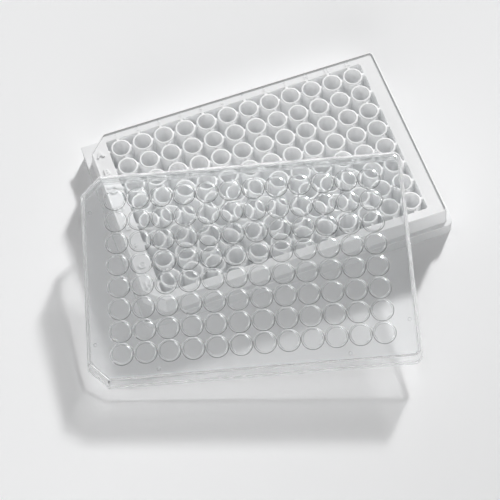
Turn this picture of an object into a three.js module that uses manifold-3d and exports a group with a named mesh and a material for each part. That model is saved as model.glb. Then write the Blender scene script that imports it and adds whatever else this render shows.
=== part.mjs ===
// A 96-well plate of opaque white polystyrene, with its clear lid taken off and laid across
// the corner at well H1. Both are single injection mouldings. Millimetres, +Z up, with the
// columns 1 to 12 along +X and row A on the +Y side.
import * as THREE from "three";
import { mergeGeometries, mergeVertices } from "three/addons/utils/BufferGeometryUtils.js";
import Module from "manifold-3d";

// ---- Driving dimensions, plate ----
const footLength = 127.76; // base flange, outside
const footWidth = 85.48;
const footRadius = 3.18;
const flangeHeight = 6.1;
const plateHeight = 14.35; // floor to the top of the lip and of the well rims
const ledgeAtEnds = 2.1; // the body stands back this far from the flange
const ledgeAtSides = 1.85;
const wallDraft = 0.5; // the body narrows this much on each side up to its top
const cornerCut = 7; // cut corners of the body at A1 and H1
const bodyRadius = 1.5; // round corners at A12 and H12
const wallThickness = 1.3;
const lipWidth = 0.5; // raised edge round the top of the frame
const lipHeight = 0.45;
const frameAtEnds = 6.75; // flat frame from the outer wall to the pocket
const frameAtSides = 3.8;
const pocketRadius = 1;

// ---- Driving dimensions, wells ----
const wellColumns = 12;
const wellRows = 8;
const wellPitch = 9;
const wellDepth = 10.9;
const boreTopDiameter = 6.86;
const boreFloorDiameter = 6.4;
const chimneyDiameter = 8.3;
const floorThickness = 1.2;
const webThickness = 1; // upright webs that join the chimneys to each other and to the frame
const webDrop = 0.5; // the webs end this far below the rims

// ---- Driving dimensions, lid ----
const lidTopThickness = 1.1;
const lidWall = 1;
const skirtDepth = 7.5; // below the underside of the top
const lidClearance = 0.35; // to the lip, when the lid is on
const lidDraft = 0.5; // the skirt widens this much on each side down to its edge
const beadHeight = 2.2; // thicker band at the lower edge of the skirt
const beadProud = 0.4;
const ringDiameter = 8.5; // ridge of a condensation ring
const ringWidth = 0.45;
const ringHeight = 0.35;
const spacerDiameter = 1.4; // spacers that hold the lid off the frame
const spacerHeight = 0.6;
const spacerAlongSides = 36; // from the middle of each long side
const spacerAlongEnds = 27; // from the middle of each short side

// ---- Driving dimensions, where the lid lies ----
const lidShiftX = -20.75; // middle of the lid from the middle of the plate
const lidShiftY = -38.4;
const lidTurn = -15.8; // degrees about the vertical
const restGap = 0.3; // left between the lid and the lip that carries it

// ---- Facets ----
const wellSides = 8;
const ringSides = 8;
const spacerSides = 6;
const arcSteps = 2;
const through = 1; // how far a cutting body runs past the face it opens

// ---- Sizes that follow ----
const deckHeight = plateHeight - lipHeight;
const wellFloor = plateHeight - wellDepth;
const underFloor = wellFloor - floorThickness;
const footing = { halfLength: footLength / 2, halfWidth: footWidth / 2 };
const bodyFoot = inset(footing, ledgeAtEnds, ledgeAtSides);
const bodyTop = inset(bodyFoot, wallDraft);
const pocket = inset(bodyTop, frameAtEnds, frameAtSides);
const lidInsideTop = inset(bodyTop, -lidClearance);
const lidInsideEdge = inset(lidInsideTop, -lidDraft);
const upright = new THREE.Vector3(0, 0, 1);

// ---- Solids ----
const wasm = await Module();
wasm.setup();

// A closed geometry as a solid that can be joined and cut.
function solidOf(geometry) {
  const bare = geometry.clone();
  bare.deleteAttribute("normal");
  bare.deleteAttribute("uv");
  const merged = mergeVertices(bare, 1e-4);
  return new wasm.Manifold(
    new wasm.Mesh({
      numProp: 3,
      vertProperties: Float32Array.from(merged.attributes.position.array),
      triVerts: Uint32Array.from(merged.index.array),
    }),
  );
}

// A solid as a named mesh of the scene.
function meshOf(name, solid, material) {
  const { numProp, vertProperties, triVerts } = solid.getMesh();
  const positions = new Float32Array((vertProperties.length / numProp) * 3);
  for (let i = 0; i < positions.length / 3; i++) {
    positions.set(vertProperties.subarray(i * numProp, i * numProp + 3), i * 3);
  }
  const geometry = new THREE.BufferGeometry();
  geometry.setAttribute("position", new THREE.BufferAttribute(positions, 3));
  geometry.setIndex(new THREE.BufferAttribute(Uint32Array.from(triVerts), 1));
  geometry.computeVertexNormals();
  const mesh = new THREE.Mesh(geometry, material);
  mesh.name = name;
  return mesh;
}

// ---- Outlines ----
function inset({ halfLength, halfWidth }, alongX, alongY = alongX) {
  return { halfLength: halfLength - alongX, halfWidth: halfWidth - alongY };
}

// A rectangle with round corners. The two at the column 1 end are cut straight where cut is given.
function outline({ halfLength, halfWidth }, radius, cut = 0) {
  const points = [];
  for (const [signX, signY] of [[1, -1], [1, 1], [-1, 1], [-1, -1]]) {
    const corner = new THREE.Vector2(signX * halfLength, signY * halfWidth);
    if (cut && signX < 0) {
      const onSide = corner.clone().setX(corner.x + cut);
      const onEnd = corner.clone().setY(corner.y - signY * cut);
      points.push(...(signY > 0 ? [onSide, onEnd] : [onEnd, onSide]));
      continue;
    }
    const middle = new THREE.Vector2(corner.x - signX * radius, corner.y - signY * radius);
    const start = Math.atan2(signY, signX) - Math.PI / 4;
    for (let step = 0; step <= arcSteps; step++) {
      const angle = start + (step / arcSteps) * (Math.PI / 2);
      const arm = new THREE.Vector2(Math.cos(angle), Math.sin(angle)).multiplyScalar(radius);
      points.push(middle.clone().add(arm));
    }
  }
  return points;
}

// ---- Geometries ----
// One section pulled straight up.
function prism(points, low, high) {
  const settings = { depth: high - low, bevelEnabled: false };
  return new THREE.ExtrudeGeometry(new THREE.Shape(points), settings).translate(0, 0, low);
}

// Sections with like corners, one above another, skinned and closed at both ends.
function loft(sections) {
  const count = sections[0].points.length;
  const positions = sections.flatMap(({ points, z }) => points.flatMap(({ x, y }) => [x, y, z]));
  const faces = [];
  for (let level = 0; level < sections.length - 1; level++) {
    for (let i = 0; i < count; i++) {
      const a = level * count + i;
      const b = level * count + ((i + 1) % count);
      faces.push(a, b, b + count, a, b + count, a + count);
    }
  }
  const lid = (sections.length - 1) * count;
  for (const [a, b, c] of THREE.ShapeUtils.triangulateShape(sections[0].points, [])) {
    faces.push(a, c, b);
  }
  for (const [a, b, c] of THREE.ShapeUtils.triangulateShape(sections.at(-1).points, [])) {
    faces.push(lid + a, lid + b, lid + c);
  }
  const geometry = new THREE.BufferGeometry();
  geometry.setAttribute("position", new THREE.Float32BufferAttribute(positions, 3));
  return geometry.setIndex(faces);
}

// A profile of [radius, height] pairs turned about the vertical, with a flat towards each side.
function turned(profile, sides) {
  const points = profile.map(([radius, height]) => new THREE.Vector2(radius, height));
  return new THREE.LatheGeometry(points, sides, Math.PI / sides).rotateX(Math.PI / 2);
}

// A copy of a geometry at each well centre.
function atEachWell(geometry) {
  const copies = [];
  for (let column = 0; column < wellColumns; column++) {
    for (let row = 0; row < wellRows; row++) {
      const x = (column - (wellColumns - 1) / 2) * wellPitch;
      const y = ((wellRows - 1) / 2 - row) * wellPitch;
      copies.push(geometry.clone().translate(x, y, 0));
    }
  }
  return mergeGeometries(copies);
}

// ---- Plate ----
// Flange and drafted body, with the frame sunk inside a narrow lip.
function shell() {
  const flange = solidOf(prism(outline(footing, footRadius), 0, flangeHeight));
  const body = solidOf(
    loft([
      { points: outline(bodyFoot, bodyRadius, cornerCut), z: flangeHeight / 2 },
      { points: outline(bodyFoot, bodyRadius, cornerCut), z: flangeHeight },
      { points: outline(bodyTop, bodyRadius, cornerCut), z: plateHeight },
    ]),
  );
  const insideLip = outline(inset(bodyTop, lipWidth), bodyRadius - lipWidth, cornerCut - lipWidth / 2);
  const deck = solidOf(prism(insideLip, deckHeight, plateHeight + through));
  const well = solidOf(prism(outline(pocket, pocketRadius), wellFloor, plateHeight + through));
  return flange.add(body).subtract(deck).subtract(well);
}

// The plate is open underneath: a channel runs up inside the outer wall, round the pocket.
function underside() {
  const inFlange = inset(footing, wallThickness);
  const inBody = inset(bodyTop, wallThickness);
  const roundPocket = inset(pocket, -wallThickness);
  const low = solidOf(
    prism(outline(inFlange, footRadius - wallThickness), -through, flangeHeight - wallThickness),
  );
  const high = solidOf(
    prism(outline(inBody, bodyRadius, cornerCut), -through, deckHeight - wallThickness),
  );
  const core = solidOf(prism(outline(roundPocket, pocketRadius), underFloor, plateHeight));
  return low.add(high).subtract(core);
}

// Upright webs along every row and column, from one pocket wall to the other.
function webs() {
  const top = plateHeight - webDrop;
  const bottom = wellFloor - floorThickness / 2;
  const sunk = wallThickness / 2; // each web ends inside the pocket wall
  const height = top - bottom;
  const lengthX = 2 * (pocket.halfLength + sunk);
  const lengthY = 2 * (pocket.halfWidth + sunk);
  let joined = null;
  const place = (box, x, y) => {
    const web = solidOf(box.translate(x, y, bottom + height / 2));
    joined = joined ? joined.add(web) : web;
  };
  for (let row = 0; row < wellRows; row++) {
    const y = ((wellRows - 1) / 2 - row) * wellPitch;
    place(new THREE.BoxGeometry(lengthX, webThickness, height), 0, y);
  }
  for (let column = 0; column < wellColumns; column++) {
    const x = (column - (wellColumns - 1) / 2) * wellPitch;
    place(new THREE.BoxGeometry(webThickness, lengthY, height), x, 0);
  }
  return joined;
}

// The 96 chimneys, standing on the pocket floor, and the tapered bores that go down them.
function chimneys() {
  const radius = chimneyDiameter / 2;
  const bottom = wellFloor - floorThickness / 2;
  const profile = [[0, bottom], [radius, bottom], [radius, plateHeight], [0, plateHeight]];
  return solidOf(atEachWell(turned(profile, wellSides)));
}

function bores() {
  const taper = (boreTopDiameter - boreFloorDiameter) / 2 / wellDepth;
  const above = boreTopDiameter / 2 + taper * through;
  const profile = [
    [0, wellFloor],
    [boreFloorDiameter / 2, wellFloor],
    [above, plateHeight + through],
    [0, plateHeight + through],
  ];
  return solidOf(atEachWell(turned(profile, wellSides)));
}

function plate() {
  const filled = shell().subtract(underside()).add(webs()).add(chimneys());
  const material = new THREE.MeshStandardMaterial({ color: 0xf0f1f2, roughness: 0.42, metalness: 0 });
  return meshOf("well_plate", filled.subtract(bores()), material);
}

// ---- Lid ----
// In the lid's own frame z = 0 is the underside of its top.
function lidShell() {
  const radius = bodyRadius + lidClearance;
  const section = (size, thickness, z) => ({
    points: outline(inset(size, -thickness), radius + thickness, cornerCut + thickness / 2),
    z,
  });
  const beadTop = beadHeight - skirtDepth;
  const atBead = inset(lidInsideTop, (-lidDraft * (skirtDepth - beadHeight)) / skirtDepth);
  const outside = loft([
    section(lidInsideEdge, lidWall + beadProud, -skirtDepth),
    section(atBead, lidWall + beadProud, beadTop),
    section(atBead, lidWall, beadTop + beadProud),
    section(lidInsideTop, lidWall, lidTopThickness),
  ]);
  const widening = (lidDraft * through) / skirtDepth;
  const inside = loft([
    section(lidInsideEdge, widening, -skirtDepth - through),
    section(lidInsideTop, 0, 0),
  ]);
  return solidOf(outside).subtract(solidOf(inside));
}

// Condensation rings on the underside, one over each well.
function rings() {
  const ridge = ringDiameter / 2;
  const half = ringWidth / 2;
  const root = lidTopThickness / 2;
  const profile = [
    [ridge - half, root],
    [ridge - half, 0],
    [ridge, -ringHeight],
    [ridge + half, 0],
    [ridge + half, root],
    [ridge - half, root],
  ];
  return solidOf(atEachWell(turned(profile, ringSides)));
}

// Two spacers near each edge, which stand on the plate's frame when the lid is on.
function spacers() {
  const frameLine = inset(bodyTop, lipWidth + spacerDiameter, frameAtSides / 2);
  const radius = spacerDiameter / 2;
  const root = lidTopThickness / 2;
  const profile = [[0, -spacerHeight], [radius, -spacerHeight], [radius, root], [0, root]];
  const copies = [];
  for (const signX of [-1, 1]) {
    for (const signY of [-1, 1]) {
      const places = [
        [signX * spacerAlongSides, signY * frameLine.halfWidth],
        [signX * frameLine.halfLength, signY * spacerAlongEnds],
      ];
      for (const [x, y] of places) {
        copies.push(turned(profile, spacerSides).translate(x, y, 0));
      }
    }
  }
  return solidOf(mergeGeometries(copies));
}

// The lid leans on three points of the plate's lip: its top lies on the end of the H1 corner
// cut, its row A wall on the column 1 lip, and its column 12 wall on the row H lip.
function leanLid(mesh) {
  const turn = new THREE.Quaternion().setFromAxisAngle(upright, THREE.MathUtils.degToRad(lidTurn));
  const wallY = lidInsideEdge.halfWidth;
  const wallX = lidInsideEdge.halfLength;
  const walls = [
    { axis: "x", lip: -bodyTop.halfLength, ends: [[-wallX, wallY], [wallX, wallY]] },
    { axis: "y", lip: -bodyTop.halfWidth, ends: [[wallX, -wallY], [wallX, wallY]] },
  ];
  const cutEnd = new THREE.Vector3(cornerCut - bodyTop.halfLength, -bodyTop.halfWidth, plateHeight);
  const facing = upright.clone();
  mesh.position.set(lidShiftX, lidShiftY, plateHeight);
  for (let pass = 0; pass < 30; pass++) {
    mesh.quaternion.setFromUnitVectors(upright, facing).multiply(turn);
    mesh.updateMatrix();
    const seats = [cutEnd.clone().addScaledVector(facing, ringHeight + restGap)];
    for (const { axis, lip, ends } of walls) {
      const [from, to] = ends.map(([x, y]) =>
        new THREE.Vector3(x, y, -skirtDepth).applyMatrix4(mesh.matrix),
      );
      const share = (lip - from[axis]) / (to[axis] - from[axis]);
      const touch = from.lerp(to, share).setZ(plateHeight);
      seats.push(touch.addScaledVector(facing, skirtDepth + restGap));
    }
    const top = new THREE.Plane().setFromCoplanarPoints(...seats);
    facing.copy(top.normal).multiplyScalar(Math.sign(top.normal.z));
    const drop = new THREE.Line3(
      new THREE.Vector3(lidShiftX, lidShiftY, -footLength),
      new THREE.Vector3(lidShiftX, lidShiftY, footLength),
    );
    top.intersectLine(drop, mesh.position);
  }
  return mesh;
}

function lid() {
  const material = new THREE.MeshStandardMaterial({
    color: 0xf2f6f8,
    roughness: 0.08,
    metalness: 0,
    transparent: true,
    opacity: 0.3,
  });
  return leanLid(meshOf("lid", lidShell().add(rings()).add(spacers()), material));
}

// ---- The part, standing on z = 0 with its box centred on the vertical axis ----
const part = new THREE.Group();
part.add(plate(), lid());
const middle = new THREE.Box3().setFromObject(part, true).getCenter(new THREE.Vector3());
part.position.set(-middle.x, -middle.y, 0);

export default part;
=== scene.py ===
# %% [markdown]
# # A 96-well plate with its clear lid laid across it
#
# A well plate is a tray of small test tubes moulded in one shot of plastic. This one is
# opaque white polystyrene: a base flange, a drafted body with two cut corners that mark
# column 1, and twelve by eight chimney wells that stand in a sunken pocket. Its lid is a
# second moulding in clear polystyrene, and under its top it has one raised ring over each
# well. Both pieces have the same outlines as the CAD model. What Blender adds here is
# the roundness of every edge, round wells in place of faceted ones, the index marks, and
# two plastics with fine handling marks in their surface. Parts of their colour are painted
# light and shade: brighter wells, darker bore bottoms, walls and flange, a grey line inside
# the lip, and white highlight lines on the lid's edges.

# %% Load the imported part
import math

import bpy
from mathutils import Euler, Matrix, Vector


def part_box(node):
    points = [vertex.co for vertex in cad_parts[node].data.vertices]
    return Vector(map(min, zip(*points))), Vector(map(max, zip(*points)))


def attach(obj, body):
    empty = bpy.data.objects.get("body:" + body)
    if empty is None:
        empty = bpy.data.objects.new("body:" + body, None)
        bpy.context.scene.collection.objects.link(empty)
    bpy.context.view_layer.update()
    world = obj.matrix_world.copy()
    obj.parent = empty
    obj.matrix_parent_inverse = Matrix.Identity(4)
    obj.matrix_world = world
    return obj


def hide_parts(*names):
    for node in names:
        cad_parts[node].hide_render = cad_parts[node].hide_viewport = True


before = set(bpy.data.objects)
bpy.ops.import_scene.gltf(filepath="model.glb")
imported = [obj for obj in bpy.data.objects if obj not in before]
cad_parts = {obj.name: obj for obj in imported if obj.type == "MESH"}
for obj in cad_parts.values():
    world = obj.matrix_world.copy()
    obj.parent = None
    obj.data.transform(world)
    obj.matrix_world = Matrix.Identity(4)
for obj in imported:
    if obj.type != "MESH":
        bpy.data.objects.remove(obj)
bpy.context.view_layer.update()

# %% [markdown]
# ## Sizes
#
# A microplate is a standard object, so its sizes are round numbers in millimetres. The
# pieces are drawn in millimetres about the middle of their own well grid, and each is
# scaled to metres and put in its place as the last thing that is done to its mesh. That
# keeps the numbers readable, and keeps the finished object unturned at the origin.

# %% Sizes of the plate and its wells, in millimetres
FOOT_LENGTH, FOOT_WIDTH, FOOT_RADIUS = 127.76, 85.48, 3.18
FLANGE_HEIGHT, PLATE_HEIGHT = 6.1, 14.35
LEDGE_AT_ENDS, LEDGE_AT_SIDES = 2.1, 1.85
WALL_DRAFT, WALL = 0.5, 1.3
CORNER_CUT, BODY_RADIUS = 7.0, 1.5
LIP_WIDTH, LIP_HEIGHT = 0.5, 0.45
FRAME_AT_ENDS, FRAME_AT_SIDES, POCKET_RADIUS = 6.75, 3.8, 1.0
COLUMNS, ROWS, PITCH = 12, 8, 9.0
WELL_DEPTH, BORE_TOP, BORE_FLOOR, CHIMNEY = 10.9, 6.86, 6.4, 8.3
FLOOR, WEB, WEB_DROP = 1.2, 1.0, 0.5

foot = (FOOT_LENGTH / 2, FOOT_WIDTH / 2)
body_foot = (foot[0] - LEDGE_AT_ENDS, foot[1] - LEDGE_AT_SIDES)
body_top = (body_foot[0] - WALL_DRAFT, body_foot[1] - WALL_DRAFT)
pocket = (body_top[0] - FRAME_AT_ENDS, body_top[1] - FRAME_AT_SIDES)
deck = PLATE_HEIGHT - LIP_HEIGHT
well_floor = PLATE_HEIGHT - WELL_DEPTH
print("top of the body, half sizes:", body_top, " pocket:", pocket)

# %% [markdown]
# The lid is drawn from the top of the plate's body plus a clearance, so that the two fit.
# A condensation ring is a ridge. Its sizes are how far its two flanks stand inside and
# outside the ring's circle, how far each flank comes down, and how steep it is.

# %% Sizes of the lid, in millimetres
LID_TOP, LID_WALL, SKIRT_DEPTH = 1.1, 1.0, 7.5
LID_CLEARANCE, LID_DRAFT = 0.35, 0.5
BEAD_HEIGHT, BEAD_PROUD = 2.2, 0.4
LID_TOP_EDGE, BEAD_FOOT_EDGE = 0.45, 0.25
RING, RING_INWARD, RING_OUTWARD = 8.5, 0.65, 0.24
INNER_DROP, INNER_SLOPE = 0.2, 47
OUTER_DROP, OUTER_SLOPE = 0.3, 50
SPACER, SPACER_HEIGHT, SPACER_EDGE = 1.4, 0.6, 0.2
SPACER_ALONG_SIDES, SPACER_ALONG_ENDS = 36.0, 27.0

lid_inside = (body_top[0] + LID_CLEARANCE, body_top[1] + LID_CLEARANCE)
print("inside of the lid at its top, half sizes:", lid_inside)

# %% [markdown]
# ## Where the two pieces are
#
# The plate stands square to the axes, so the middle of its box is the middle of its grid.
# The lid leans on three points of the plate's lip, so its place has to be measured from
# the CAD solid. Its biggest triangle lies in the flat top and gives the direction that
# faces up, and its biggest wall is a long side and gives the direction across.

# %% Find the place of each piece
MM = 0.001
SAME_HEIGHT = 0.01 * MM


def plate_place():
    """Matrix from millimetres about the plate's grid to its place in metres."""
    low, high = (Vector(corner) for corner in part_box("well_plate"))
    middle = (low + high) / 2
    return Matrix.Translation((middle.x, middle.y, low.z)) @ Matrix.Scale(MM, 4)


def lid_place():
    """Matrix from millimetres about the lid's underside to its place in metres."""
    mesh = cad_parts["lid"].data
    up = max(mesh.polygons, key=lambda f: f.area if f.normal.z > 0.5 else 0).normal.copy()
    walls = [f for f in mesh.polygons if abs(f.normal.dot(up)) < 0.2]
    side = max(walls, key=lambda f: f.area).normal
    across = (side - up * side.dot(up)).normalized()
    across *= math.copysign(1, across.y)
    along = across.cross(up)
    heights = [v.co.dot(up) for v in mesh.vertices]
    level = max(heights) - SAME_HEIGHT
    top = [v.co for v, height in zip(mesh.vertices, heights) if height > level]
    middle = Vector()
    for axis in (along, across):
        spread = [p.dot(axis) for p in top]
        middle += axis * (min(spread) + max(spread)) / 2
    middle += up * (max(heights) - LID_TOP * MM)
    turn = Matrix((along, across, up)).transposed().to_4x4()
    return Matrix.Translation(middle) @ turn @ Matrix.Scale(MM, 4)


place_of_plate, place_of_lid = plate_place(), lid_place()
tilt = math.degrees(place_of_lid.to_quaternion().to_matrix().col[2].angle(Vector((0, 0, 1))))
print(f"the lid leans {tilt:.2f} degrees")

# %% [markdown]
# ## Writing node trees as sums
#
# Both the shapes and the plastics below come from node trees. A tree is easier to read as
# an expression, so a small class wraps an output socket and turns +, -, *, /, % and **
# into Math nodes. Every other node comes from one method that sets the node's own settings
# first and its sockets after.


# %% A socket that can be calculated with
class Value:
    """An output socket of a node tree, with arithmetic."""

    def __init__(self, tree, socket):
        self.tree, self.socket = tree, socket

    def maths(self, operation, *others):
        return self.tree.node("ShaderNodeMath", {"operation": operation}, (self, *others))

    def __add__(self, other):
        return self.maths("ADD", other)

    def __sub__(self, other):
        return self.maths("SUBTRACT", other)

    def __mul__(self, other):
        return self.maths("MULTIPLY", other)

    def __truediv__(self, other):
        return self.maths("DIVIDE", other)

    def __mod__(self, other):
        return self.maths("FLOORED_MODULO", other)

    def __pow__(self, other):
        return self.maths("POWER", other)

    def __rsub__(self, other):
        return self.tree.node("ShaderNodeMath", {"operation": "SUBTRACT"}, (other, self))

    __radd__, __rmul__ = __add__, __mul__

    def below(self, limit):
        """1 where the value is less than the limit, else 0."""
        return self.maths("LESS_THAN", limit)

    def within(self, limit):
        """1 where the value is between -limit and limit, else 0."""
        return self.maths("ABSOLUTE").below(limit)

    def held(self, low=0.0, high=1.0):
        """The value, kept from going under low or over high."""
        return self.maths("MAXIMUM", low).maths("MINIMUM", high)


class Tree:
    """A node tree, and the one method that adds a node to it."""

    def __init__(self, nodes):
        self.nodes = nodes

    def node(self, kind, settings=None, values=(), output=0):
        """A node of this kind. values fills its sockets, in order or by name."""
        node = self.nodes.nodes.new(kind)
        for name, setting in (settings or {}).items():
            if name == "stops":
                for stop, (at, colour) in zip(node.color_ramp.elements, setting):
                    stop.position, stop.color = at, colour
            else:
                setattr(node, name, setting)
        pairs = values.items() if isinstance(values, dict) else enumerate(values)
        for key, value in pairs:
            for part in value if isinstance(value, list) else [value]:
                if isinstance(part, Value):
                    self.nodes.links.new(part.socket, node.inputs[key])
                elif part is not None:
                    node.inputs[key].default_value = part
        return Value(self, node.outputs[output] if len(node.outputs) else None)


print("node trees are written with", Tree.__name__, "and", Value.__name__)

# %% [markdown]
# Every material here starts empty and reads the place of the point being shaded. They all
# split a vector into its axes, read soft noise, or lay one colour over another, so those
# have a function each.


# %% What the materials share
def new_material(name):
    """An empty material, its tree, and the Object coordinates in it."""
    material = bpy.data.materials.new(name)
    material.use_nodes = True
    material.node_tree.nodes.clear()
    tree = Tree(material.node_tree)
    return material, tree, tree.node("ShaderNodeTexCoord", output="Object")


def split(tree, vector, axes="XYZ"):
    """The named axes of a vector, as values."""
    kind = "ShaderNodeSeparateXYZ"
    return [tree.node(kind, values=(vector,), output=axis) for axis in axes]


def noise(tree, place, scale, detail):
    """Soft noise from 0 to 1, with this many waves to a metre and octaves on them."""
    values = {"Vector": place, "Scale": scale, "Detail": detail}
    return tree.node("ShaderNodeTexNoise", values=values, output="Fac")


def laid_over(tree, share, under, over):
    """A colour with another laid over it, wholly where the share is 1."""
    values = {0: share, 6: under, 7: over}
    return tree.node("ShaderNodeMix", {"data_type": "RGBA"}, values, output=2)


print("materials share", new_material.__name__, split.__name__, noise.__name__)

# %% [markdown]
# ## Outlines and skins
#
# Every wall here is a rectangle with two round corners and two cut ones, drawn a little
# larger or smaller at each height. If each outline has the same number of points, a skin
# can run through all of them in one go: up the outside, over the edge and down the
# inside. Each step of that profile can be given a radius, and its corner is then rounded
# in the same way that a mould's edges are.

# %% Outlines with like corners
ARC = 6


def outline(half_length, half_width, radius, cut):
    """Points round a rectangle. The corners at the column 1 end are cut if cut is given."""
    points = []
    for sign_x, sign_y in ((1, -1), (1, 1), (-1, 1), (-1, -1)):
        corner = Vector((sign_x * half_length, sign_y * half_width))
        middle = corner - Vector((sign_x, sign_y)) * radius
        start = math.atan2(sign_y, sign_x) - math.pi / 4
        for step in range(ARC + 1):
            share = step / ARC
            if cut and sign_x < 0:
                ends = [corner + Vector((cut, 0)), corner - Vector((0, sign_y * cut))]
                first, last = ends if sign_y > 0 else ends[::-1]
                points.append(first.lerp(last, share))
            else:
                angle = start + share * math.pi / 2
                points.append(middle + Vector((math.cos(angle), math.sin(angle))) * radius)
    return points


print("points in an outline:", len(outline(*foot, FOOT_RADIUS, 0)))

# %% [markdown]
# A profile is a list of stops. Rounding one swaps it for a few points on a curve that
# leaves the edge before it and joins the edge after it. The curve never takes more than
# half of an edge, so two radii can't cross.


# %% Round the corners of a profile
def softened(profile, steps=3):
    """The profile with its corners rounded. A stop is (half length, half width, corner
    radius, corner cut, height, edge radius)."""
    rounded = []
    for i, stop in enumerate(profile):
        *here, soft = stop
        if not soft or i in (0, len(profile) - 1):
            rounded.append(here)
            continue
        before, after = profile[i - 1][:5], profile[i + 1][:5]

        def towards(other, reach=soft):
            length = math.dist((here[0], here[4]), (other[0], other[4]))
            share = min(reach / length, 0.5)
            return [a + (b - a) * share for a, b in zip(here, other)]

        start, end = towards(before), towards(after)
        for step in range(steps + 1):
            t = step / steps
            weights = ((1 - t) ** 2, 2 * t * (1 - t), t**2)
            bends = zip(start, here, end)
            rounded.append([sum(w * v for w, v in zip(weights, bend)) for bend in bends])
    return rounded


def skin(name, profile):
    """A closed mesh through the outlines of a softened profile, capped at both ends."""
    loops = [[(*p, stop[4]) for p in outline(*stop[:4])] for stop in softened(profile)]
    count = len(loops[0])
    last = (len(loops) - 1) * count
    faces = [tuple(range(count))[::-1], tuple(range(last, last + count))]
    for level in range(len(loops) - 1):
        for i in range(count):
            a, b = level * count + i, level * count + (i + 1) % count
            faces.append((a, b, b + count, a + count))
    return blank(name, [p for loop in loops for p in loop], faces)


# %% [markdown]
# A blank is a mesh that isn't finished. Wells, rings and spacers are turned shapes, like
# pieces from a lathe, so one function spins a profile about the vertical. It closes the
# shape on the axis itself with a single point where the profile touches it.

# %% Blanks and turned blanks
blanks = []


def blank(name, points, faces):
    """An unfinished object in millimetres, which the script removes at the end."""
    mesh = bpy.data.meshes.new(name)
    mesh.from_pydata(points, [], faces)
    piece = bpy.data.objects.new(name, mesh)
    bpy.context.collection.objects.link(piece)
    blanks.append(piece)
    return piece


def turned(name, profile, sides, closed=False):
    """A profile of (radius, height) turned about the vertical, with its faces outwards."""
    points, rows = [], []
    for radius, height in profile:
        angles = [0] if radius == 0 else [2 * math.pi * i / sides for i in range(sides)]
        rows.append([len(points) + i for i in range(len(angles))])
        points += [(radius * math.cos(a), radius * math.sin(a), height) for a in angles]
    faces = []
    pairs = list(zip(rows, rows[1:])) + ([(rows[-1], rows[0])] if closed else [])
    for low, high in pairs:
        for i in range(sides):
            j = (i + 1) % sides
            corners = [(low, i), (low, j), (high, j), (high, i)]
            corners = [row[at % len(row)] for row, at in corners]
            faces.append(tuple(dict.fromkeys(corners)))
    return blank(name, points, faces)


def arc(centre, radius, start, end, steps=3):
    """Points of a round edge between two angles in degrees, for a turned profile."""
    angles = [math.radians(start + (end - start) * i / steps) for i in range(steps + 1)]
    return [(centre[0] + radius * math.cos(a), centre[1] + radius * math.sin(a)) for a in angles]


# %% [markdown]
# ## A grid of stamps, in Geometry Nodes
#
# A mould maker cuts the same well ninety-six times. Geometry Nodes do the same: a tree
# lays out a grid of points, sets a copy of one stamp on each, and joins the copies to the
# blank or cuts them from it with a boolean. One tree serves the webs, the chimneys, the
# bores, the rings and the spacers, because the stamp and the grid's sizes are its inputs.


# %% Build the tree
def stamping_tree(name, operation):
    """Stamps an object on each point of a grid, and joins or cuts the copies."""
    group = bpy.data.node_groups.new(name, "GeometryNodeTree")
    sockets = [
        ("Geometry", "NodeSocketGeometry"),
        ("Stamp", "NodeSocketObject"),
        ("Columns", "NodeSocketInt"),
        ("Rows", "NodeSocketInt"),
        ("Pitch X", "NodeSocketFloat"),
        ("Pitch Y", "NodeSocketFloat"),
        ("Material", "NodeSocketMaterial"),
    ]
    for label, kind in sockets:
        group.interface.new_socket(label, in_out="INPUT", socket_type=kind)
    group.interface.new_socket("Geometry", in_out="OUTPUT", socket_type="NodeSocketGeometry")
    tree = Tree(group)
    source = group.nodes.new("NodeGroupInput")
    given = {label: Value(tree, source.outputs[label]) for label, _ in sockets}
    columns, rows = given["Columns"], given["Rows"]

    index = tree.node("GeometryNodeInputIndex")
    column = index % columns
    row = (index / columns).maths("FLOOR")
    x = (column - (columns - 1) / 2) * given["Pitch X"]
    y = ((rows - 1) / 2 - row) * given["Pitch Y"]
    spot = tree.node("ShaderNodeCombineXYZ", values=(x, y))
    grid = tree.node("GeometryNodePoints", values={"Count": columns * rows, "Position": spot})
    stamp = tree.node("GeometryNodeObjectInfo", values=(given["Stamp"],), output="Geometry")
    copies = tree.node("GeometryNodeInstanceOnPoints", values={"Points": grid, "Instance": stamp})
    solid = tree.node("GeometryNodeRealizeInstances", values=(copies,))
    if operation == "UNION":
        meshes = {"Mesh 2": [given["Geometry"], solid]}
    else:
        meshes = {"Mesh 1": given["Geometry"], "Mesh 2": solid}
    settings = {"operation": operation, "solver": "MANIFOLD"}
    joined = tree.node("GeometryNodeMeshBoolean", settings, meshes)
    whole = tree.node("GeometryNodeRealizeInstances", values=(joined,))
    finish = {"Geometry": whole, "Material": given["Material"]}
    out = tree.node("GeometryNodeSetMaterial", values=finish)
    sink = group.nodes.new("NodeGroupOutput")
    group.links.new(out.socket, sink.inputs[0])
    return group


add_stamps = stamping_tree("add stamps on a grid", "UNION")
cut_stamps = stamping_tree("cut stamps on a grid", "DIFFERENCE")
print("tree inputs:", [item.name for item in add_stamps.interface.items_tree])

# %% [markdown]
# The tree runs as a modifier, one for each stamp. When a blank has all of them, they are
# applied, and the mesh is moved to its place in metres. Edges that turn more than the
# sharp angle stay crisp. The rest are shaded as one smooth surface, and a weighted normal
# modifier keeps the big flat faces flat beside their rounded edges.

# %% Use the tree on a blank
SHARP_ANGLE = 32


def stamp(piece, tree, shape, columns, rows, pitch_x, pitch_y, material):
    """One pass of the tree over a blank, as a modifier."""
    modifier = piece.modifiers.new(f"{tree.name}: {shape.name}", "NODES")
    modifier.node_group = tree
    values = {
        "Stamp": shape,
        "Columns": columns,
        "Rows": rows,
        "Pitch X": pitch_x,
        "Pitch Y": pitch_y,
        "Material": material,
    }
    for item in tree.interface.items_tree:
        if item.in_out == "INPUT" and item.name in values:
            modifier[item.identifier] = values[item.name]


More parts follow.
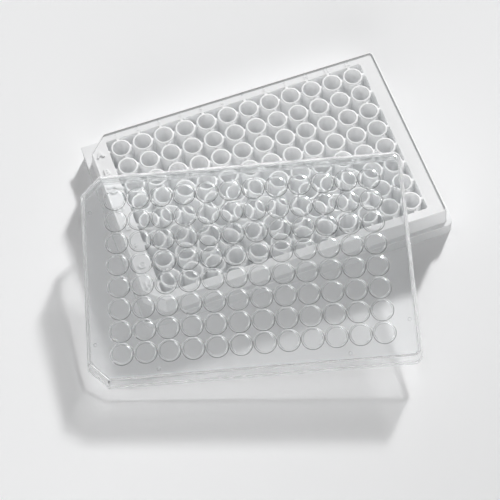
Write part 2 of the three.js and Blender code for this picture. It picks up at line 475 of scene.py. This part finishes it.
def settled_mesh(piece):
    """The object as a plain mesh, with its modifiers applied."""
    bpy.context.view_layer.update()
    settled = piece.evaluated_get(bpy.context.evaluated_depsgraph_get())
    return bpy.data.meshes.new_from_object(settled)


def finished(name, piece, place):
    """The blank with its modifiers applied, as a piece of the part in its place."""
    mesh = settled_mesh(piece)
    mesh.transform(place)
    mesh.name = name
    mesh.shade_smooth()
    mesh.set_sharp_from_angle(angle=math.radians(SHARP_ANGLE))
    made = bpy.data.objects.new(name, mesh)
    bpy.context.collection.objects.link(made)
    flats = made.modifiers.new("flat faces stay flat", "WEIGHTED_NORMAL")
    flats.keep_sharp = True
    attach(made, "root")
    triangles = sum(len(face.vertices) - 2 for face in mesh.polygons)
    print(f"{name}: {triangles} triangles, {len(mesh.vertices)} points")
    return made


# %% [markdown]
# ## White polystyrene
#
# Plates for luminescence work are filled with white pigment until no light passes between
# wells. The plastic is a clean, faintly cool white with a satin skin, because the mould is
# spark-eroded rather than polished. Under a lens that skin is a very fine grain, and the
# melt leaves faint clouds where it flowed.
#
# The white isn't the same all over, because light and shade are painted into parts of it.
# The pocket and its wells are painted brighter than the frame, as painted light, and each
# bore is painted darker towards its bottom, as painted shade. The outer walls are painted
# greyer than the frame and the flange greyer still, and the inner face of the lip is a mid
# grey line; all three are painted shade. One material holds all of it. Each region is a
# test of where the point is, and its colour is laid over the one before it. The patterns
# read Object coordinates, so they stay put on the moulding.

# %% Colours of the white plastic, as shares of the light that falls on it
SKIN = [(0.35, (0.915, 0.918, 0.921, 1)), (0.65, (0.930, 0.933, 0.936, 1))]
# painted light: the pocket and its wells are painted brighter than the frame
PAINTED_LIGHT_IN_WELLS = [(0.35, (0.979, 0.982, 0.984, 1)), (0.65, (0.986, 0.988, 0.990, 1))]
# painted shade: a bore is painted darker towards its bottom
PAINTED_SHADE_DEEP_IN_BORE = (0.925, 0.928, 0.931, 1)
# painted shade: the inner face of the lip, where the lip's shadow falls
PAINTED_SHADE_ON_LIP = (0.5, 0.505, 0.51, 1)
# painted shade: the outer walls are painted greyer than the frame
PAINTED_SHADE_ON_WALLS = (0.84, 0.844, 0.848, 1)
# painted shade: the flange is painted greyer still
PAINTED_SHADE_ON_FLANGE = (0.67, 0.675, 0.68, 1)

# Where they lie: distances in millimetres, and depths as shares of a well's depth.
POCKET_MARGIN = 0.3
LIP_BAND, LIP_CLEAR_BELOW, LIP_CLEAR_ABOVE = (0.3, 1.3), 0.04, 0.06
WALL_TOP = deck - 0.05
FLANGE_SHADE_FROM, FLANGE_SHADE_FADE = FLANGE_HEIGHT - 0.4, 0.3
BORE_SHADE_FROM, BORE_SHADE_FADE = 0.4, 0.4
# the grey of the flange is painted shade
print("the flange turns grey", round(FLANGE_SHADE_FROM, 2), "mm above the bench")

# %% [markdown]
# A region's share is 1 inside it and 0 outside, and it runs from one to the other where
# two painted colours fade into each other. The wells' region repeats with the pitch. The
# grain and the handling marks only tilt the light, by a bump of a few hundredths of a
# millimetre.


# %% Make the white plastic
def white_polystyrene():
    material, tree, place = new_material("white_plastic")
    x, y, z = split(tree, place)
    middle = place_of_plate.translation
    x, y = x - middle.x, y - middle.y

    def inside(half_sizes, margin):
        """1 in an upright box about the plate's middle, a margin larger, else 0."""
        half_length, half_width = ((half + margin) * MM for half in half_sizes)
        return x.within(half_length) * y.within(half_width)

    from_well = [(axis / (PITCH * MM)) % 1 - 0.5 for axis in (x, y)]
    squared = from_well[0] ** 2 + from_well[1] ** 2
    in_bore = squared.below((BORE_TOP / 2 / PITCH) ** 2)
    depth = (PLATE_HEIGHT * MM - z) / (WELL_DEPTH * MM)
    # painted shade: darker towards the bottom of each bore
    bore_shade = ((depth - BORE_SHADE_FROM) / BORE_SHADE_FADE).held() * in_bore
    # painted shade on the outer walls
    wall_shade = z.below(WALL_TOP * MM)
    # painted shade on the flange
    flange_shade = (1 - (z - FLANGE_SHADE_FROM * MM) / (FLANGE_SHADE_FADE * MM)).held()
    # painted shade on the inner face of the lip
    band = inside(body_top, -LIP_BAND[0]) - inside(body_top, -LIP_BAND[1])
    lip_shade = band * z.maths("GREATER_THAN", (deck + LIP_CLEAR_BELOW) * MM)
    lip_shade = lip_shade * z.below((PLATE_HEIGHT - LIP_CLEAR_ABOVE) * MM)

    flow = noise(tree, place, 45.0, 3.0)
    grain = noise(tree, place, 5200.0, 2.0)
    handled = noise(tree, place, 160.0, 4.0)
    satin = tree.node("ShaderNodeValToRGB", {"stops": SKIN}, (flow,))
    # painted light over the pocket and wells, with painted shade deep in each bore laid on it
    painted_well_light = tree.node("ShaderNodeValToRGB", {"stops": PAINTED_LIGHT_IN_WELLS}, (flow,))
    colour = laid_over(tree, lip_shade, satin, PAINTED_SHADE_ON_LIP)
    colour = laid_over(tree, wall_shade, colour, PAINTED_SHADE_ON_WALLS)
    colour = laid_over(tree, flange_shade, colour, PAINTED_SHADE_ON_FLANGE)
    painted_wells = laid_over(tree, bore_shade, painted_well_light, PAINTED_SHADE_DEEP_IN_BORE)
    colour = laid_over(tree, inside(pocket, POCKET_MARGIN), colour, painted_wells)

    relief = {"Strength": 0.12, "Distance": 0.02 * MM, "Height": grain * 0.7 + handled * 0.3}
    values = {
        "Base Color": colour,
        "Roughness": 0.38 + handled * 0.12,
        "IOR": 1.55,
        "Normal": tree.node("ShaderNodeBump", values=relief),
    }
    plastic = tree.node("ShaderNodeBsdfPrincipled", values=values)
    tree.node("ShaderNodeOutputMaterial", values=(plastic,))
    return material


white = white_polystyrene()
print("white plastic has", len(white.node_tree.nodes), "nodes")

# %% [markdown]
# ## Clear polystyrene
#
# General purpose polystyrene is as clear as glass and bends light more than window glass
# does, with an index of 1.59. A slow ripple bends its reflections a little, as shrinkage
# does on a flat moulding, and a fine haze dulls them. The rings and spacers are a little
# less polished than the flat top, the skirt less again, and the bead at its edge is
# slightly matt.
#
# Cycles would need a great many samples to carry light from a lamp through clear plastic
# and on to a matt surface. So a ray on its way to a lamp, and a ray that has left a matt
# surface, go straight through, less what the surface would mirror at that angle. That
# gives the soft grey shadow, with darker lines under the walls, that a clear lid casts,
# and it keeps daylight in the wells under the lid.

# %% Finish of the clear plastic
CLEAR_INDEX = 1.59
CLEAR_TINT = (0.90, 0.907, 0.91, 1)
FLAT_TOP = (60.8, 39.8)  # half sizes of the polished middle, in millimetres
UNDERSIDE = -0.02
LET_THROUGH = 0.88
print("polished middle of the lid:", [2 * half for half in FLAT_TOP], "mm")

# %% [markdown]
# The lid leans and is turned, so its regions are told apart in its own coordinates, which
# a Mapping node works out from the lid's place.


# %% Make the clear plastic
def on_the_lid(tree, place):
    """The lid's own coordinates in millimetres, with z = 0 on its underside."""
    back = place_of_lid.inverted()
    values = {
        "Vector": place,
        "Location": back.translation,
        "Rotation": back.to_euler(),
        "Scale": (1 / MM, 1 / MM, 1 / MM),
    }
    return tree.node("ShaderNodeMapping", {"vector_type": "POINT"}, values)


def clear_polystyrene():
    material, tree, place = new_material("clear_plastic")
    x, y, z = split(tree, on_the_lid(tree, place))
    middle = x.within(FLAT_TOP[0]) * y.within(FLAT_TOP[1])
    on_bead = z.below(BEAD_HEIGHT + BEAD_PROUD - SKIRT_DEPTH)
    on_ring = z.below(UNDERSIDE) * middle

    ripple = noise(tree, place, 60.0, 1.0)
    haze = noise(tree, place, 900.0, 3.0)
    relief = {"Strength": 0.25, "Distance": 0.06 * MM, "Height": ripple}
    less_polished = on_ring * 0.02 + (1 - middle) * 0.03 + on_bead * 0.12
    values = {
        "Base Color": CLEAR_TINT,
        "Roughness": 0.015 + haze * 0.03 + less_polished,
        "IOR": CLEAR_INDEX,
        "Transmission Weight": 1.0,
        "Normal": tree.node("ShaderNodeBump", values=relief),
    }
    body = tree.node("ShaderNodeBsdfPrincipled", values=values)

    facing = tree.node("ShaderNodeLayerWeight", values={"Blend": 0.5}, output="Facing")
    let_through = LET_THROUGH - (facing**4) * LET_THROUGH
    to_lamp = tree.node("ShaderNodeLightPath", output="Is Shadow Ray")
    from_matt = tree.node("ShaderNodeLightPath", output="Is Diffuse Ray")
    straight = to_lamp.maths("MAXIMUM", from_matt) * let_through
    passing = tree.node("ShaderNodeBsdfTransparent")
    mix = tree.node("ShaderNodeMixShader", values=(straight, body, passing))
    tree.node("ShaderNodeOutputMaterial", values=(mix,))
    return material


clear = clear_polystyrene()
print("clear plastic has", len(clear.node_tree.nodes), "nodes")

# %% [markdown]
# ### Painted highlights on the edges of the lid
#
# The bright lines along a clear lid's edges are painted highlight here. A pale satin white
# material stands in for the light that clear plastic carries along its edges, and it is thin,
# so it lets some of what is behind it show where its noise is weakest. The faces that take
# it are picked once the lid is whole.


# %% Make the plastic with painted highlights
def painted_highlight_polystyrene():
    material, tree, place = new_material("scuffed_plastic")
    highlight_patches = noise(tree, place, 110.0, 2.0)
    values = {
        # painted highlight: a pale white that stands in for bright lines of light along the edges
        "Base Color": (0.95, 0.955, 0.96, 1),
        "Roughness": 0.25 + highlight_patches * 0.2,
        "IOR": CLEAR_INDEX,
        "Alpha": ((highlight_patches - 0.1) * 2.0).held(0.6, 0.95),
    }
    plastic = tree.node("ShaderNodeBsdfPrincipled", values=values)
    tree.node("ShaderNodeOutputMaterial", values=(plastic,))
    return material


painted_highlight = painted_highlight_polystyrene()
print("scuffed plastic has", len(painted_highlight.node_tree.nodes), "nodes")

# %% [markdown]
# ## The plate's shell
#
# The shell is one skin. Its profile starts on the pocket floor, climbs the pocket wall,
# crosses the flat frame, goes over the narrow lip, down the drafted body and over the
# flange, and then back up inside the hollow foot and round the pocket from below. The
# last number of each stop is its edge radius. Most edges get a few tenths of a
# millimetre, which is what catches the light on a real moulding.

# %% Skin the shell
CORE_CAP = 2.0  # how far in from the pocket's outside the skin ends


def plate_shell():
    inside_lip = (body_top[0] - LIP_WIDTH, body_top[1] - LIP_WIDTH)
    in_flange = (foot[0] - WALL, foot[1] - WALL)
    in_body = (body_top[0] - WALL, body_top[1] - WALL)
    core = (pocket[0] + WALL, pocket[1] + WALL)
    lip_radius, lip_cut = BODY_RADIUS - LIP_WIDTH, CORNER_CUT - LIP_WIDTH / 2
    channel_top = deck - WALL
    profile = [
        (*pocket, POCKET_RADIUS, 0, well_floor, 0),
        (*pocket, POCKET_RADIUS, 0, deck, 0.25),
        (*inside_lip, lip_radius, lip_cut, deck, 0.12),
        (*inside_lip, lip_radius, lip_cut, PLATE_HEIGHT, 0.12),
        (*body_top, BODY_RADIUS, CORNER_CUT, PLATE_HEIGHT, 0.15),
        (*body_foot, BODY_RADIUS, CORNER_CUT, FLANGE_HEIGHT, 0.3),
        (*foot, FOOT_RADIUS, 0, FLANGE_HEIGHT, 0.3),
        (*foot, FOOT_RADIUS, 0, 0, 0.2),
        (*in_flange, FOOT_RADIUS - WALL, 0, 0, 0.2),
        (*in_flange, FOOT_RADIUS - WALL, 0, FLANGE_HEIGHT - WALL, 0.3),
        (*in_body, BODY_RADIUS, CORNER_CUT, FLANGE_HEIGHT - WALL, 0.3),
        (*in_body, BODY_RADIUS, CORNER_CUT, channel_top, 0.3),
        (*core, POCKET_RADIUS, 0, channel_top, 0.3),
        (*core, POCKET_RADIUS, 0, well_floor - FLOOR, 0.3),
        (*(half - CORE_CAP for half in core), POCKET_RADIUS, 0, well_floor - FLOOR, 0),
    ]
    return skin("plate shell", profile)


shell = plate_shell()
print("shell:", len(shell.data.polygons), "faces")

# %% [markdown]
# ## Wells and webs
#
# Each well is a chimney with a round rim and a slightly tapered bore. Upright webs tie
# the chimneys to each other along every row and column, and stop half a millimetre below
# the rims. A stamp is sunk a little into what carries it, so that the two join cleanly.
# The CAD model's chimneys and bores have eight sides, and a round one with the same radius
# would look wider, so both radii are eased by a tenth of a millimetre or so.

# %% Stamps for the wells
SIDES, ROOT = 40, 0.6
CHIMNEY_EASE, BORE_EASE = 0.1, 0.12
RIM_EDGE, BORE_EDGE, BORE_FLOOR_EDGE = 0.24, 0.12, 0.35
ABOVE_RIM = 1.0


def chimney_stamp():
    radius = CHIMNEY / 2 - CHIMNEY_EASE
    rim = arc((radius - RIM_EDGE, PLATE_HEIGHT - RIM_EDGE), RIM_EDGE, 0, 90)
    foot_of_wall = [(0, well_floor - ROOT), (radius, well_floor - ROOT)]
    return turned("chimney", [*foot_of_wall, *rim, (0, PLATE_HEIGHT)], SIDES)


def bore_stamp():
    top, bottom = BORE_TOP / 2 - BORE_EASE, BORE_FLOOR / 2 - BORE_EASE
    flare = arc((top + BORE_EDGE, PLATE_HEIGHT - BORE_EDGE), BORE_EDGE, 180, 90)
    low = (bottom - BORE_FLOOR_EDGE, well_floor + BORE_FLOOR_EDGE)
    floor_edge = arc(low, BORE_FLOOR_EDGE, 270, 360)
    above = [(top + BORE_EDGE, PLATE_HEIGHT + ABOVE_RIM), (0, PLATE_HEIGHT + ABOVE_RIM)]
    return turned("bore", [(0, well_floor), *floor_edge, *flare, *above], SIDES)


def web_stamp(name, length, width):
    """A thin upright wall, as long as the pocket and a little more."""
    low, high = well_floor - ROOT, PLATE_HEIGHT - WEB_DROP
    x, y = length / 2, width / 2
    ring = [(-x, -y), (x, -y), (x, y), (-x, y)]
    points = [(*p, low) for p in ring] + [(*p, high) for p in ring]
    sides = [(i, (i + 1) % 4, (i + 1) % 4 + 4, i + 4) for i in range(4)]
    return blank(name, points, [(3, 2, 1, 0), (4, 5, 6, 7), *sides])


web_along = web_stamp("web along a row", 2 * (pocket[0] + ROOT), WEB)
web_across = web_stamp("web along a column", WEB, 2 * (pocket[1] + ROOT))
print("webs:", [[round(size, 2) for size in web.dimensions] for web in (web_along, web_across)])

# %% [markdown]
# The chimneys are joined to the shell first and the bores cut last, so a bore also clears
# the webs that cross it.

# %% Stamp the wells into the shell
stamp(shell, add_stamps, web_along, 1, ROWS, 0.0, PITCH, white)
stamp(shell, add_stamps, web_across, COLUMNS, 1, PITCH, 0.0, white)
stamp(shell, add_stamps, chimney_stamp(), COLUMNS, ROWS, PITCH, PITCH, white)
stamp(shell, cut_stamps, bore_stamp(), COLUMNS, ROWS, PITCH, PITCH, white)
plate = finished("white_plate", shell, place_of_plate)
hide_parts("well_plate")

# %% [markdown]
# ## Index marks
#
# Letters for the rows and numbers for the columns stand on the flat frame. The letters
# are raised 0.4 mm, and the numbers, which share a narrow strip with the lip, hardly more
# than a tenth. They are text curves made into a mesh, with a bevelled top, and their
# lower half is sunk in the frame.

# %% Raise the letters and numbers
LETTER_SIZE, LETTER_RISE, LETTER_SHIFT = 3.9, 0.4, 0.6
NUMBER_SIZE, NUMBER_RISE = 2.5, 0.12
STROKE, BEVEL = 0.02, 0.3


def mark(text, x, y, size, rise):
    """One raised character as a mesh, in millimetres."""
    curve = bpy.data.curves.new(f"mark {text}", "FONT")
    curve.body, curve.size, curve.resolution_u, curve.offset = text, size, 3, STROKE * size
    curve.align_x, curve.align_y = "CENTER", "CENTER"
    curve.extrude, curve.bevel_depth = rise * (1 - BEVEL), rise * BEVEL
    curve.bevel_resolution = 1
    writing = bpy.data.objects.new(curve.name, curve)
    bpy.context.collection.objects.link(writing)
    mesh = settled_mesh(writing)
    mesh.transform(Matrix.Translation((x, y, deck)))
    bpy.data.objects.remove(writing)
    return mesh


def index_marks():
    letter_x = -(pocket[0] + body_top[0] - LIP_WIDTH) / 2 - LETTER_SHIFT
    number_y = (pocket[1] + body_top[1] - LIP_WIDTH) / 2
    meshes = []
    for row in range(ROWS):
        y = ((ROWS - 1) / 2 - row) * PITCH
        meshes.append(mark("ABCDEFGH"[row], letter_x, y, LETTER_SIZE, LETTER_RISE))
    for column in range(COLUMNS):
        x = (column - (COLUMNS - 1) / 2) * PITCH
        meshes.append(mark(str(column + 1), x, number_y, NUMBER_SIZE, NUMBER_RISE))
    points, faces = [], []
    for mesh in meshes:
        faces += [tuple(v + len(points) for v in face.vertices) for face in mesh.polygons]
        points += [v.co.to_tuple() for v in mesh.vertices]
    return blank("marks", points, faces)


marks = finished("index_marks", index_marks(), place_of_plate)
marks.data.materials.append(white)

# %% [markdown]
# ## The lid
#
# The lid is one skin as well: over the flat top, down the drafted skirt to a thicker bead
# at its edge, and back up the inside. The corner between the skirt and the underside has
# the largest radius, and it is the bright line that runs round inside the edge of a clear
# lid. The upright corners are a little rounder, and the bead a little less proud, than in
# the CAD model, whose corners are faceted. That keeps the smooth corners inside its box.

# %% Skin the lid
CORNER_EASE, BEAD_EASE = 0.35, 0.08
LID_CAP = 3.0  # how far in from the skirt the skin ends, above and below


def lid_shell():
    def at(height, out):
        """Half sizes of the drafted wall at a height, moved out by this much."""
        widening = LID_DRAFT * -min(height, 0) / SKIRT_DEPTH
        return (lid_inside[0] + widening + out, lid_inside[1] + widening + out)

    def stop(height, out, soft, wall_at=None):
        sizes = at(height if wall_at is None else wall_at, out)
        radius = BODY_RADIUS + LID_CLEARANCE + out + CORNER_EASE
        return (*sizes, radius, CORNER_CUT + out / 2, height, soft)

    def cap(height):
        return (*(half - LID_CAP for half in lid_inside), BODY_RADIUS, CORNER_CUT, height, 0)

    bead_top = BEAD_HEIGHT - SKIRT_DEPTH
    proud = LID_WALL + BEAD_PROUD - BEAD_EASE
    profile = [
        cap(0),
        stop(0, 0, 0.55),
        stop(-SKIRT_DEPTH, 0, 0.15),
        stop(-SKIRT_DEPTH, proud, BEAD_FOOT_EDGE),
        stop(bead_top, proud, 0.3),
        stop(bead_top + BEAD_PROUD, LID_WALL, 0.2, wall_at=bead_top),
        stop(LID_TOP, LID_WALL, LID_TOP_EDGE),
        cap(LID_TOP),
    ]
    return skin("lid shell", profile)


cover = lid_shell()
print("lid shell:", len(cover.data.polygons), "faces")

# %% [markdown]
# ### Rings and spacers
#
# A condensation ring keeps droplets over their own well. It is a ridge with two steep
# flanks, and between them its crest slopes gently, deepest near the outside. Each slope
# mirrors its own part of the room, which gives a ring its thin dark and bright lines. The
# flanks are steeper than the sharp angle, so that they aren't smoothed into the flat
# underside. Eight small spacers beside the skirt keep a seated lid from sealing.

# %% Stamp the rings and spacers under the lid
RING_SIDES, SPACER_SIDES = 40, 20


def ring_stamp():
    """A ridge, closed above the underside, inside the thickness of the lid's top."""

    def run(slope, drop):
        """How far a flank of this slope goes sideways as it comes down."""
        return drop / math.tan(math.radians(slope))

    inner, outer = RING / 2 - RING_INWARD, RING / 2 + RING_OUTWARD
    profile = [
        (outer, ROOT),
        (inner, ROOT),
        (inner, 0),
        (inner + run(INNER_SLOPE, INNER_DROP), -INNER_DROP),
        (outer - run(OUTER_SLOPE, OUTER_DROP), -OUTER_DROP),
        (outer, 0),
    ]
    return turned("condensation ring", profile, RING_SIDES, closed=True)


def spacer_stamp():
    radius = SPACER / 2
    tip = arc((radius - SPACER_EDGE, SPACER_EDGE - SPACER_HEIGHT), SPACER_EDGE, 270, 360)
    profile = [(0, -SPACER_HEIGHT), *tip, (radius, ROOT), (0, ROOT)]
    return turned("spacer", profile, SPACER_SIDES)


spacer = spacer_stamp()
end_line = 2 * (body_top[0] - LIP_WIDTH - SPACER)
side_line = 2 * (body_top[1] - FRAME_AT_SIDES / 2)
stamp(cover, add_stamps, ring_stamp(), COLUMNS, ROWS, PITCH, PITCH, clear)
stamp(cover, add_stamps, spacer, 2, 2, 2 * SPACER_ALONG_SIDES, side_line, clear)
stamp(cover, add_stamps, spacer, 2, 2, end_line, 2 * SPACER_ALONG_ENDS, clear)
lid = finished("clear_lid", cover, place_of_lid)
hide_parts("lid")

# %% [markdown]
# ### Where the highlights are painted
#
# Two edges take the painted highlight: the one round the top, and the foot of the bead,
# on which the lid stands. Their faces are found by their height on the lid and by how far
# they face up or down.

# %% Paint highlights on the edges of the lid
TOP_EDGE_FACES_UP = (0.35, 0.93)
FOOT_EDGE_FACES_DOWN = -0.15
HAIR = 0.01

lid.data.materials.append(painted_highlight)
back = place_of_lid.inverted()
for face in lid.data.polygons:
    height = (back @ face.center).z
    facing = (back.to_3x3() @ face.normal).normalized().z
    faces_out = TOP_EDGE_FACES_UP[0] < facing < TOP_EDGE_FACES_UP[1]
    top_edge = height > LID_TOP - (LID_TOP_EDGE + HAIR) and faces_out
    foot_edge = height < BEAD_FOOT_EDGE + HAIR - SKIRT_DEPTH and facing < FOOT_EDGE_FACES_DOWN
    if top_edge or foot_edge:
        # these faces take the painted highlight
        face.material_index = 1
print("scuffed faces:", sum(face.material_index for face in lid.data.polygons))

# %% [markdown]
# ## The bench
#
# The bench is a pale matt sheet with no edge in view. In front of the plate it is painted a
# little darker, as painted shade, and it has its pale colour in its material, so the lamps
# stay at a level where the plastics show their own colours.

# %% Lay the bench
# painted shade: the bench is darker in front of the plate, paler further away
BENCH_PAINTED_SHADE = (0.85, 0.851, 0.854, 1)
BENCH_UNSHADED = (0.950, 0.951, 0.955, 1)
SHADE_AT, SHADE_REACH = (0.06, -0.15), 0.2
BENCH_HALF = 3.0


def bench():
    material, tree, place = new_material("bench")
    mottle = noise(tree, place, 6.0, 2.0)
    x, y = split(tree, place, "XY")
    away = ((x - SHADE_AT[0]) ** 2 + (y - SHADE_AT[1]) ** 2).maths("SQRT") / SHADE_REACH
    stops = {"stops": [(0.1, BENCH_PAINTED_SHADE), (0.9, BENCH_UNSHADED)]}
    pale = tree.node("ShaderNodeValToRGB", stops, (away + mottle * 0.1,))
    values = {"Base Color": pale, "Roughness": 0.9, "Specular IOR Level": 0.1}
    matt = tree.node("ShaderNodeBsdfPrincipled", values=values)
    tree.node("ShaderNodeOutputMaterial", values=(matt,))
    mesh = bpy.data.meshes.new("bench")
    corners = [(x * BENCH_HALF, y * BENCH_HALF, 0) for x, y in ((-1, -1), (1, -1), (1, 1), (-1, 1))]
    mesh.from_pydata(corners, [], [(0, 1, 2, 3)])
    mesh.materials.append(material)
    sheet = bpy.data.objects.new("bench", mesh)
    bpy.context.collection.objects.link(sheet)
    return sheet


print("bench:", [round(size, 2) for size in bench().dimensions], "m")

# %% [markdown]
# ## The lamps
#
# A window stands behind the plate on the right, low enough that the shadows are about
# twice as long as the plate is high. From the plate it looks narrow, which gives the
# shadows a firm edge, and the blind round it is wide and faint, which softens that edge.
# A ceiling panel and a white card in front fill the shadows. Those two are so wide that
# clear plastic would mirror them all over, so it neither mirrors nor transmits them.

# %% Hang the lamps
TOWARDS_WINDOW = Vector((1.44, 1.64, 1.0)).normalized()
LAMPS = [
    # name, strength, width in degrees, where it stands, seen in mirrors
    ("window", 3.35, 5, TOWARDS_WINDOW, True),
    ("window blind", 0.7, 24, TOWARDS_WINDOW, True),
    ("ceiling panel", 0.65, 60, Vector((-0.50, -0.10, 0.80)), False),
    ("white card", 1.9, 45, Vector((-0.35, -0.90, 0.10)), False),
]
for name, strength, width, towards, mirrored in LAMPS:
    light = bpy.data.lights.new(name, "SUN")
    light.energy, light.angle = strength, math.radians(width)
    lamp = bpy.data.objects.new(name, light)
    lamp.rotation_euler = towards.to_track_quat("Z", "Y").to_euler()
    lamp.visible_glossy = lamp.visible_transmission = mirrored
    bpy.context.collection.objects.link(lamp)
print("window stands", round(math.degrees(math.asin(TOWARDS_WINDOW.z)), 1), "degrees up")

# %% [markdown]
# ## The room
#
# The room gives a matt surface only a faint even light. What a mirror or clear plastic
# shows of it has more shape: plain walls, a wall lit round the window, a pale band at the
# horizon, a strip of ceiling overhead on the left, and a glow from the front. Their sum
# is held at 1, so no part of the room is brighter than white paper.

# %% Paint the room
FILL, WALLS = 0.065, 0.15
HORIZON_WIDTH = 0.25
CEILING_FROM, CEILING_FADE, CEILING_LEVEL, CEILING_FALL = 0.90, 0.05, 0.45, 3.0
TOWARDS_FRONT, FRONT_LEVEL = Vector((-0.45, -0.70, 0.55)), 0.7

world = bpy.data.worlds.new("room")
bpy.context.scene.world = world
world.use_nodes = True
world.node_tree.nodes.clear()
room = Tree(world.node_tree)
way = room.node("ShaderNodeTexCoord", output="Generated")
east, height = split(room, way, "XZ")


def glow_towards(direction, sharpness):
    """1 in one direction, fading to 0 at right angles to it."""
    settings = {"operation": "DOT_PRODUCT"}
    along = room.node("ShaderNodeVectorMath", settings, (way, direction), output="Value")
    return along.maths("MAXIMUM", 0.0) ** sharpness


horizon = (1 - height.maths("ABSOLUTE") / HORIZON_WIDTH).maths("MAXIMUM", 0.0)
ceiling = ((height - CEILING_FROM) / CEILING_FADE).held()
ceiling = ceiling * (CEILING_LEVEL - east * CEILING_FALL).maths("MAXIMUM", 0.0)
front = glow_towards(TOWARDS_FRONT, 2) * FRONT_LEVEL
shown = WALLS + glow_towards(TOWARDS_WINDOW, 4) + horizon + ceiling + front
rays = ("Is Camera Ray", "Is Glossy Ray", "Is Transmission Ray")
first, second, third = (room.node("ShaderNodeLightPath", output=ray) for ray in rays)
seen = first.maths("MAXIMUM", second).maths("MAXIMUM", third)
values = {"Color": (0.97, 0.985, 1.0, 1), "Strength": FILL + seen * shown.maths("MINIMUM", 1.0)}
glow = room.node("ShaderNodeBackground", values=values)
room.node("ShaderNodeOutputWorld", values=(glow,))
print("room has", len(world.node_tree.nodes), "nodes")

# %% [markdown]
# ## The camera
#
# A long lens from well above the near edge, so the far side of the plate is hardly
# smaller than the near side. Its place is given from the middle of the wells' rims.

# %% Place the camera
LENS, SENSOR, FAR_CLIP = 131.7, 36.0, 20
CAMERA_FROM_RIMS = Vector((-0.11997, -0.36377, 0.61357))
CAMERA_TURN = (29.59, 1.356, -19.57)

camera_data = bpy.data.cameras.new("camera")
camera_data.lens, camera_data.sensor_width, camera_data.clip_end = LENS, SENSOR, FAR_CLIP
camera = bpy.data.objects.new("camera", camera_data)
camera.location = place_of_plate @ Vector((0, 0, PLATE_HEIGHT)) + CAMERA_FROM_RIMS
camera.rotation_euler = Euler([math.radians(angle) for angle in CAMERA_TURN], "XYZ")
bpy.context.collection.objects.link(camera)
bpy.context.scene.camera = camera
bpy.context.scene.view_settings.view_transform = "Standard"
print("camera is", round(CAMERA_FROM_RIMS.length, 3), "m from the rims")

# %% [markdown]
# ## How far light is followed
#
# A white well is a light trap with bright walls: light finds its way out after many
# bounces. Cut off early, or with its indirect light clamped, the bottom of every well
# would be too dark.

# %% Let light bounce
cycles = bpy.context.scene.cycles
cycles.diffuse_bounces, cycles.max_bounces = 32, 48
cycles.sample_clamp_indirect = 0
print("bounces:", cycles.diffuse_bounces, "matt,", cycles.max_bounces, "in all")

# %% [markdown]
# ## Finish
#
# The blanks and stamps have done their work and are removed.

# %% Clear the blanks away and finish
for piece in blanks:
    bpy.data.objects.remove(piece)
bpy.context.view_layer.update()
